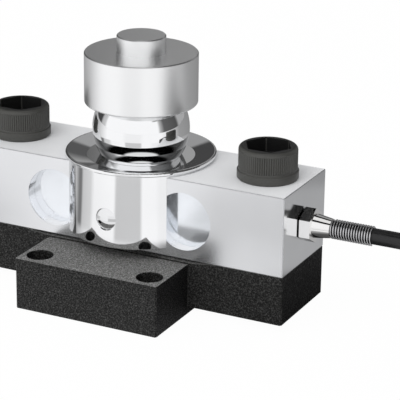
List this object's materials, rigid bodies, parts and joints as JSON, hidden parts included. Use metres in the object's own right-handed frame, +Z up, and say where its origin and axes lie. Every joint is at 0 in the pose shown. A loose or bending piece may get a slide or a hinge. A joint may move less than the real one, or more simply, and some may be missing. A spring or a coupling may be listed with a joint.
{
  "type": "double ended beam load cell",
  "caption": "Compression load cell: steel beam bolted to a base with a wide foot, chromed sleeve and dish, ball under a round loading cap, gland with spring and coiled cable.",
  "frame": {"origin": "on the foundation plane, under the axis of the ball", "axes": "+X along the beam towards the cable, +Y to the back, +Z up along the load axis"},
  "size_m": [0.4196, 0.1512, 0.1375],
  "materials": {
    "blackened_steel": "black oxide, satin",
    "ground_stainless": "fine ground",
    "polished_chrome": "polished",
    "ball_chrome": "mirror polished",
    "satin_cap_steel": "satin turned",
    "black_rubber": "matte",
    "black_bolt_steel": "black oxide, satin",
    "pin_steel": "polished",
    "cover_steel": "polished",
    "gauge_foil": "foil on film",
    "board_laminate": "matte",
    "wire_sheath": "matte",
    "gland_nickel": "plated, satin",
    "spring_steel": "drawn wire",
    "cable_jacket": "glossy",
    "boot_shrink": "matte",
    "lead_insulation": "glossy",
    "tie_plastic": "matte"
  },
  "bodies": {
    "root": {"base_plate": "blackened_steel", "beam_body": "ground_stainless", "loading_sleeve": "polished_chrome", "ball_seat": "polished_chrome", "steel_ball": "ball_chrome", "loading_cap": "satin_cap_steel", "ball_retaining_ring": "black_rubber", "left_mounting_bolt": "black_bolt_steel", "right_mounting_bolt": "black_bolt_steel", "left_lock_washer": "black_bolt_steel", "right_lock_washer": "black_bolt_steel", "front_locking_pin": "pin_steel", "back_locking_pin": "pin_steel", "pocket_cover_front_left": "cover_steel", "pocket_cover_front_right": "cover_steel", "pocket_cover_back_left": "cover_steel", "pocket_cover_back_right": "cover_steel", "strain_gauge_front_left": "gauge_foil", "strain_gauge_front_right": "gauge_foil", "strain_gauge_back_left": "gauge_foil", "strain_gauge_back_right": "gauge_foil", "trimming_board": "board_laminate", "bridge_wiring": "wire_sheath", "gallery_end_plug": "ground_stainless", "gallery_side_plug": "ground_stainless", "gland_body": "gland_nickel", "gland_nut": "gland_nickel", "gland_seal": "black_rubber", "strain_relief_spring": "spring_steel", "signal_cable": "cable_jacket", "cable_coil": "cable_jacket", "cable_tail": "cable_jacket", "end_boot": "boot_shrink", "cable_leads": "lead_insulation", "coil_ties": "tie_plastic"}
  },
  "joints": []
}
